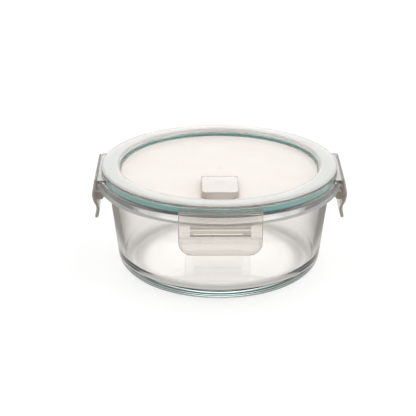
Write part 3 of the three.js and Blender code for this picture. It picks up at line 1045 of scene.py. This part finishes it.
@dataclass
class VentFlap:
    """The raised flap over the steam hole, with its plug.

    Attributes:
        foot: Height of its lower edge, in millimetres, as are the rest.
        crown: Height of the middle of its top.
        half: Half its width.
        front: How far forward its front wall's foot is, in the middle.
        front_edge: How far forward the top edge of that wall is.
        front_bend: Radius of its foot, seen from above.
        axis_y: Place of its hinge line.
        axis_z: Height of its hinge line.
        barrel: Radius of its round back.
    """

    foot: float
    crown: float
    half: float
    front: float = 55.1
    front_edge: float = 52.6
    front_bend: float = 18.0
    axis_y: float = -24.4
    axis_z: float = 66.55
    barrel: float = 1.75
    wall: float = 1.3
    ceiling: float = 67.0
    corner: float = 3.2
    top_edge: float = 0.55
    draft: float = 0.3
    ear_inner: float = 6.3
    ear_outer: float = 8.1
    pin: float = 0.8
    pin_half: float = 9.0
    gap: float = 0.3

    @classmethod
    def from_frame(cls) -> "VentFlap":
        """The flap at the size of its CAD node."""
        low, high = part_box("vent_flap")
        return cls(foot=low.z / MM, crown=high.z / MM, half=high.x / MM)

    def loop(self, back: float, front_reach: float, inset: float) -> Points:
        """The flap from above, once round: straight sides and back, rounded front corners, and a bowed front.

        Args:
            back: Where its back is.
            front_reach: How far forward its front is, in the middle.
            inset: How far the whole is shrunk.
        """
        half, corner, radius = self.half - inset, self.corner, self.front_bend - inset
        inner = radius - corner
        across = half - corner
        lean = math.degrees(math.asin(across / inner))
        bend_y = self.front_bend - front_reach
        centre_y = bend_y - inner * math.cos(math.radians(lean))
        front = arc((0, bend_y), radius, -90 - lean, -90 + lean, 24)
        right = arc((across, centre_y), corner, -90 + lean, 0, 10)
        left = arc((-across, centre_y), corner, 180, 270 - lean, 10)
        tip = 0.5
        back_right = arc((half - tip, back - tip), tip, 0, 90, 5)
        back_left = arc((-half + tip, back - tip), tip, 90, 180, 5)
        return evenly(joined(front, right, back_right, back_left, left[:-1], front[:1]), 1.2)[:-1]

    def top_height(self, y: Points) -> Points:
        """Height of the top at each y: a shallow arch from the round back over the middle to the front."""
        share = np.clip((self.axis_y - y) / (self.front_edge + self.axis_y), 0, 1)
        back, front = self.axis_z + self.barrel, self.crown - 0.35
        arch = (self.crown - (back + front) / 2) * 4 * share * (1 - share) * 0.99
        return back + (front - back) * share + arch

    def block(self) -> Surface:
        """The outside of the flap: a wall with a little draft, a rounded top edge, and an arched top.

        Each level is the loop from above shrunk towards its middle: first up the wall, then round the edge
        by a quarter circle, then in over the top to the middle.
        """
        loop = self.loop(self.axis_y, self.front, 0.0)
        slope = np.clip(-self.front_edge - loop[:, 1], 0, None)
        middle = np.array([0.0, (self.axis_y - self.front) / 2])
        reach = np.linalg.norm(loop - middle, axis=1, keepdims=True)
        toward = (middle - loop) / reach
        back_side = np.clip((loop[:, 1:] - (self.axis_y - 0.6)) / 0.6, 0, 1)
        turn = np.radians(np.linspace(0, 90, 7))
        insets = [(0.0, 0.0), (0.6 * self.draft, 0.6), *[(self.draft, 1.0) for _ in turn]]
        levels = []
        for number, (inset, rise) in enumerate(insets):
            bend = self.top_edge * (1 - math.cos(turn[number - 2])) if number >= 2 else 0.0
            lift = self.top_edge * (math.sin(turn[number - 2]) - 1) if number >= 2 else 0.0
            plan = loop + toward * (inset * (1 - back_side) + bend)
            plan[:, 1] += slope * rise
            top = self.top_height(plan[:, 1]) - self.top_edge
            height = self.foot + (top - self.foot) * rise if number < 2 else top + self.top_edge + lift
            levels.append(np.column_stack([plan, height]))
        edge = levels[-1][:, :2]
        for share in [0.02, 0.045, *np.linspace(0.08, 0.96, 12)]:
            plan = edge + (middle - edge) * share
            levels.append(np.column_stack([plan, self.top_height(plan[:, 1])]))
        surface = Surface.grid(np.stack(levels), around=True)
        count = len(loop)
        surface = surface.capped(np.arange(count)[::-1], (*middle, self.foot))
        last = (len(levels) - 1) * count + np.arange(count)
        return surface.capped(last, (*middle, float(self.top_height(middle[1:])[0])))

    def hinge_disc(self, radius: float, start: float, end: float) -> Surface:
        """A round bar along the hinge line."""
        return pushed(arc((self.axis_y, self.axis_z), radius, 0, 360, 40)[:-1], 0, start, end)

    def slots(self) -> list[Surface]:
        """What is cut from the flap so that it turns clear of the lid's ears."""
        cuts = []
        for sign in (-1, 1):
            start, end = sorted((sign * (self.ear_inner - self.gap), sign * (self.ear_outer + self.gap)))
            front = self.axis_y - self.barrel - self.gap - 0.6
            below = np.array(
                [
                    (front, self.foot - 1),
                    (self.axis_y + 3, self.foot - 1),
                    (self.axis_y + 3, self.axis_z),
                    (front, self.axis_z),
                ]
            )
            cuts += [self.hinge_disc(self.barrel + self.gap, start, end), pushed(below, 0, start, end)]
        return cuts

    def ears(self, panel_top: float) -> list[Surface]:
        """The lid's two ears, each with the hole that a pin turns in.

        Args:
            panel_top: Height of the panel that they stand on.

        Returns:
            The two ears.
        """
        dome = arc((self.axis_y, self.axis_z), self.barrel, 0, 180, 16)
        feet = [(self.axis_y - self.barrel, panel_top - 0.4), (self.axis_y + self.barrel, panel_top - 0.4)]
        outside = evenly(joined(dome, feet, dome[:1]), 0.5)[:-1]
        angle = np.arctan2(*(outside - (self.axis_y, self.axis_z)).T[::-1])
        outside = outside[np.argsort(angle)]
        angle = np.sort(angle)
        inside = np.stack(
            [
                self.axis_y + (self.pin + self.gap) * np.cos(angle),
                self.axis_z + (self.pin + self.gap) * np.sin(angle),
            ],
            axis=1,
        )
        made = []
        for sign in (-1, 1):
            start, end = sorted((sign * self.ear_inner, sign * self.ear_outer))
            rows = [(start, outside), (end, outside), (end, inside), (start, inside)]
            grid = np.stack([np.column_stack([np.full(len(p), x), p]) for x, p in rows])
            made.append(Surface.grid(grid, around=True, along=True))
        return made

    def steam_mark(self) -> Surface:
        """A small raised mark on the top: three waves of steam over a short bar, each a half-round bead."""
        strokes = []
        for place in (-2.1, 0.0, 2.1):
            along = np.linspace(0, 1, 25)
            x = place + 0.42 * np.sin(2 * np.pi * along)
            y = -37.2 + 4.2 * along
            strokes.append(self.bead(np.stack([x, y], axis=1)))
        bar = np.stack([np.linspace(-3.1, 3.1, 15), np.full(15, -38.9)], axis=1)
        strokes.append(self.bead(bar))
        return strokes[0].plus(*strokes[1:])

    def bead(self, line: Points) -> Surface:
        """A half-round bead laid along a line on the flap's top, with its ends drawn in to points.

        Its section is a flat ellipse, 0.5 mm wide and 0.2 mm high, across the line.
        """
        along = np.gradient(line, axis=0)
        along /= np.linalg.norm(along, axis=1, keepdims=True)
        across = np.stack([-along[:, 1], along[:, 0]], axis=1)
        ends = np.sqrt(np.clip(1 - np.linspace(-1, 1, len(line)) ** 8, 0.02, 1))
        angle = np.arange(10) * 2 * np.pi / 10
        plan = line[:, None, :] + across[:, None, :] * (0.26 * ends[:, None] * np.cos(angle))[..., None]
        height = self.top_height(plan[..., 1]) + 0.1 * ends[:, None] * np.sin(angle)
        rows = np.concatenate([plan, height[..., None]], axis=-1)
        surface = Surface.grid(rows, around=True)
        count = len(angle)
        surface = surface.capped(np.arange(count)[::-1], tuple(rows[0].mean(axis=0)))
        last = (len(line) - 1) * count + np.arange(count)
        return surface.capped(last, tuple(rows[-1].mean(axis=0)))

    def dress(self, flap: bpy.types.Object) -> None:
        """Paints shade on the flap's walls and its round back with a darker finish than its top, face by face.
        """
        for finish in (Finish.FLAP, Finish.WALL):
            flap.data.materials.append(finish.value.material())
        centres, normals = face_frames(flap.data)
        # The walls and round back take the darker copy: painted shade.
        wall = (normals[:, 2] < 0.96) | (centres[:, 1] > self.axis_y - self.barrel)
        wall |= np.abs(centres[:, 0]) > self.half - self.draft - self.top_edge - 0.1
        flap.data.polygons.foreach_set("material_index", wall.astype(np.int32))

    def build(self) -> list[bpy.types.Object]:
        """Makes the flap and its mark, dresses them and puts them on their body."""
        inside = self.loop(-27.0, self.front_edge, self.wall)
        cavity = pushed(inside, 2, self.foot - 1, self.ceiling)
        barrel = self.hinge_disc(self.barrel, 0.4 - self.half, self.half - 0.4)
        flap = new_object("vent_flap_shell", self.block())
        flap = reworked(flap, [barrel], [cavity, *self.slots()])
        flap = reworked(flap, [self.hinge_disc(self.pin, -self.pin_half, self.pin_half)], [])
        smooth(flap, 30.0)
        self.dress(flap)
        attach(flap, "vent_flap")
        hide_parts("vent_flap")
        mark = new_object("vent_flap_mark", self.steam_mark())
        smooth(mark, 60.0)
        mark.data.materials.append(flap.data.materials[0])
        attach(mark, "vent_flap")
        report(flap)
        report(mark)
        return [flap, mark]


@dataclass
class VentPlug:
    """The soft plug inside the flap.

    Attributes:
        foot: Height of its tip, in millimetres, as are the rest.
        top: Height of its head.
        radius: Radius of its sealing disc.
        y: Place of its axis.
    """

    foot: float
    top: float
    radius: float
    y: float

    @classmethod
    def from_frame(cls) -> "VentPlug":
        """The plug at the size of its CAD node."""
        low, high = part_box("vent_plug")
        return cls(foot=low.z / MM, top=high.z / MM, radius=high.x / MM, y=(low.y + high.y) / 2 / MM)

    def build(self) -> bpy.types.Object:
        """Makes the plug, dresses it and puts it on its body."""
        disc_low, disc_high = self.foot + 1.2, self.foot + 2.0
        outline = joined(
            [(0, self.foot)],
            arc((0.7, self.foot + 0.3), 0.3, -90, 0, 4),
            [(1.3, disc_low)],
            arc((self.radius - 0.3, disc_low + 0.3), 0.3, -90, 0, 4),
            arc((self.radius - 0.3, disc_high - 0.3), 0.3, 0, 90, 4),
            [(2.0, disc_high)],
            arc((1.8, self.top - 0.2), 0.2, 0, 90, 4),
            [(0, self.top)],
        )
        piece = new_object("vent_plug_soft", turned(evenly(outline, 0.6), 64).moved((0, self.y, 0)))
        smooth(piece)
        piece.data.materials.append(Silicone().material())
        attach(piece, "vent_flap")
        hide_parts("vent_plug")
        report(piece)
        return piece


# ------------------------------------------------------------------ studio


@dataclass
class Studio:
    """The floor, the light and the camera.

    Attributes:
        distance: How far the camera stands in front of the part, in metres.
        height: How high the camera stands, in metres.
        pitch: How far it looks down, in degrees.
        around: How far it stands round the part from the front, anticlockwise, in degrees.
        turn: How far it is turned to its left, in degrees.
        lens: Its focal length on a 36 mm sensor, in millimetres.
        table_edge: Distances to either side between which the light table darkens, in metres.
        table_end: Distances to either side between which it brightens again.
        foot_shade: Distances from the middle between which the painted contact shadow under the foot comes in.
        foot_light: Distances from the middle between which that painted shadow ends.
        foot_depth: How dark the painted shadow is, beside the strips.
        bright_tone: The table's bright colour.
        dark_tone: Its dark colour.
        horizon: Brightness of the surroundings at the horizon.
        overhead: Their brightness above.
        glow: How much brighter they are behind the part, low down.
    """

    distance: float = 0.83522
    height: float = 0.37536
    pitch: float = 22.05
    around: float = -0.7
    turn: float = 0.49
    lens: float = 120.79
    table_edge: tuple[float, float] = (0.064, 0.096)
    table_end: tuple[float, float] = (0.125, 0.15)
    foot_shade: tuple[float, float] = (0.044, 0.054)
    foot_light: tuple[float, float] = (0.06, 0.075)
    foot_depth: float = 0.6
    bright_tone: Colour = (0.92, 0.87, 0.84)
    dark_tone: Colour = (0.3, 0.285, 0.26)
    horizon: float = 0.7
    overhead: float = 0.95
    glow: float = 1.0

    def camera(self) -> None:
        """Places the camera."""
        data = bpy.data.cameras.new("camera")
        data.lens = self.lens
        data.sensor_width = 36.0
        made = bpy.data.objects.new("camera", data)
        around = math.radians(self.around)
        made.location = (self.distance * math.sin(around), -self.distance * math.cos(around), self.height)
        made.rotation_euler = Euler((math.radians(90 - self.pitch), 0.0, around + math.radians(self.turn)))
        bpy.context.scene.collection.objects.link(made)
        bpy.context.scene.camera = made

    def sheet(self, name: str, material: bpy.types.Material) -> bpy.types.Object:
        """Lays a wide flat sheet on the ground, which isn't part of the object."""
        size = 6000.0
        corners = np.array([[-size, -size, 0], [size, -size, 0], [size, size, 0], [-size, size, 0]], float)
        made = new_object(name, Surface(corners, np.array([[0, 1, 2, 3]]), np.zeros((0, 3), int)))
        made.data.materials.append(material)
        return made

    def floor(self) -> None:
        """Lays the pale floor, and the light table that the clear pieces see in its place.

        The table is bright under the bowl and darker in a strip at each side, as in bright-field lighting,
        which gives clear glass its dark edges. Under the bowl's foot it has a darker ring: a painted contact
        shadow.
        """
        bench = Bench("pale_floor")
        bench.set(Base_Color=(0.3, 0.3, 0.3), Roughness=0.7)
        bench.set(Emission_Color=(1.0, 1.0, 1.0), Emission_Strength=0.75)
        floor = self.sheet("floor", bench.material)
        floor.visible_transmission = False
        floor.visible_glossy = False
        bench = Bench("light_table")
        place = bench.place()
        apart = bench.add("ShaderNodeSeparateXYZ")
        bench.link(place, apart.inputs[0])
        aside = bench.add("ShaderNodeMath", operation="ABSOLUTE")
        bench.link(apart.outputs["X"], aside.inputs[0])
        length = bench.add("ShaderNodeVectorMath", operation="LENGTH")
        bench.link(place, length.inputs[0])
        strip = bench.add("ShaderNodeMath", operation="SUBTRACT")
        bench.link(bench.ramp(aside.outputs[0], *self.table_edge), strip.inputs[0])
        bench.link(bench.ramp(aside.outputs[0], *self.table_end), strip.inputs[1])
        # Painted contact shadow: a darker ring on the table under the bowl's foot.
        under = bench.ramp(length.outputs["Value"], *self.foot_shade)
        beyond = bench.ramp(length.outputs["Value"], *self.foot_light)
        ring = bench.add("ShaderNodeMath", operation="SUBTRACT")
        bench.link(under, ring.inputs[0])
        bench.link(beyond, ring.inputs[1])
        shade = bench.add("ShaderNodeMath", operation="MULTIPLY_ADD")
        shade.inputs[1].default_value = self.foot_depth
        bench.link(ring.outputs[0], shade.inputs[0])
        bench.link(strip.outputs[0], shade.inputs[2])
        tone = bench.add("ShaderNodeValToRGB")
        tone.color_ramp.elements[0].color = (*self.bright_tone, 1.0)
        tone.color_ramp.elements[1].color = (*self.dark_tone, 1.0)
        bench.link(shade.outputs[0], tone.inputs["Fac"])
        bench.link(tone.outputs["Color"], bench.shader.inputs["Emission Color"])
        bench.set(Base_Color=(0.0, 0.0, 0.0), Roughness=1.0, Specular_IOR_Level=0.0, Emission_Strength=1.0)
        table = self.sheet("light_table", bench.material)
        table.visible_camera = False
        table.visible_diffuse = False
        table.visible_shadow = False

    def world(self) -> None:
        """Fills the surroundings with soft light: bright above and behind, greyer at the sides and in front."""
        world = bpy.data.worlds.new("studio")
        bpy.context.scene.world = world
        world.use_nodes = True
        tree = world.node_tree
        tree.nodes.clear()
        output = tree.nodes.new("ShaderNodeOutputWorld")
        background = tree.nodes.new("ShaderNodeBackground")
        background.inputs["Strength"].default_value = 1.0
        place = tree.nodes.new("ShaderNodeTexCoord")
        split = tree.nodes.new("ShaderNodeSeparateXYZ")
        tree.links.new(place.outputs["Generated"], split.inputs[0])
        height = tree.nodes.new("ShaderNodeMapRange")
        height.inputs["From Min"].default_value = 0.0
        height.inputs["From Max"].default_value = 0.75
        height.inputs["To Min"].default_value = self.horizon
        height.inputs["To Max"].default_value = self.overhead
        tree.links.new(split.outputs["Z"], height.inputs["Value"])
        toward = tree.nodes.new("ShaderNodeVectorMath")
        toward.operation = "DOT_PRODUCT"
        toward.inputs[1].default_value = (0.0, 0.955, 0.296)
        tree.links.new(place.outputs["Generated"], toward.inputs[0])
        glow = tree.nodes.new("ShaderNodeMapRange")
        glow.interpolation_type = "SMOOTHSTEP"
        glow.inputs["From Min"].default_value = 0.95
        glow.inputs["From Max"].default_value = 1.0
        glow.inputs["To Max"].default_value = self.glow
        tree.links.new(toward.outputs["Value"], glow.inputs["Value"])
        total = tree.nodes.new("ShaderNodeMath")
        tree.links.new(height.outputs["Result"], total.inputs[0])
        tree.links.new(glow.outputs["Result"], total.inputs[1])
        tree.links.new(total.outputs[0], background.inputs["Color"])
        tree.links.new(background.outputs[0], output.inputs["Surface"])

    def lamp(self, name: str, place: Place, size: tuple[float, float], power: float) -> None:
        """Hangs a soft rectangular lamp that faces the part.

        Args:
            name: Its name.
            place: Where it hangs, in metres.
            size: Its width and height, in metres.
            power: Its power, in watts.
        """
        data = bpy.data.lights.new(name, "AREA")
        data.shape = "RECTANGLE"
        data.size, data.size_y = size
        data.energy = power
        made = bpy.data.objects.new(name, data)
        made.location = place
        made.rotation_euler = (Vector((0, 0, 0.03)) - Vector(place)).to_track_quat("-Z", "Y").to_euler()
        bpy.context.scene.collection.objects.link(made)

    def build(self) -> None:
        """Sets up the whole studio."""
        self.camera()
        self.floor()
        self.world()
        self.lamp("top_box", (0.0, 0.3, 1.1), (1.2, 0.9), 0.5)
        self.lamp("right_box", (0.8, -0.35, 0.35), (0.5, 0.5), 1.2)
        bpy.context.scene.view_settings.view_transform = "Standard"
        bpy.context.scene.cycles.max_bounces = 32
        bpy.context.scene.cycles.transmission_bounces = 32


def main() -> None:
    """Builds the studio and every piece in order."""
    logging.basicConfig(level=logging.INFO, format="%(name)s %(message)s")
    Studio().build()
    GlassBowl.from_frame().build()
    Lid.from_frame().build()
    SealRing.from_frame().build()
    # The second finish paints shade on the latches' edges.
    finishes = [Finish.CLEAR.value.material(), Finish.EDGE.value.material()]
    for side in Side:
        Latch.from_frame(side).build(finishes)
    VentFlap.from_frame().build()
    VentPlug.from_frame().build()


if __name__ == "__main__":
    main()
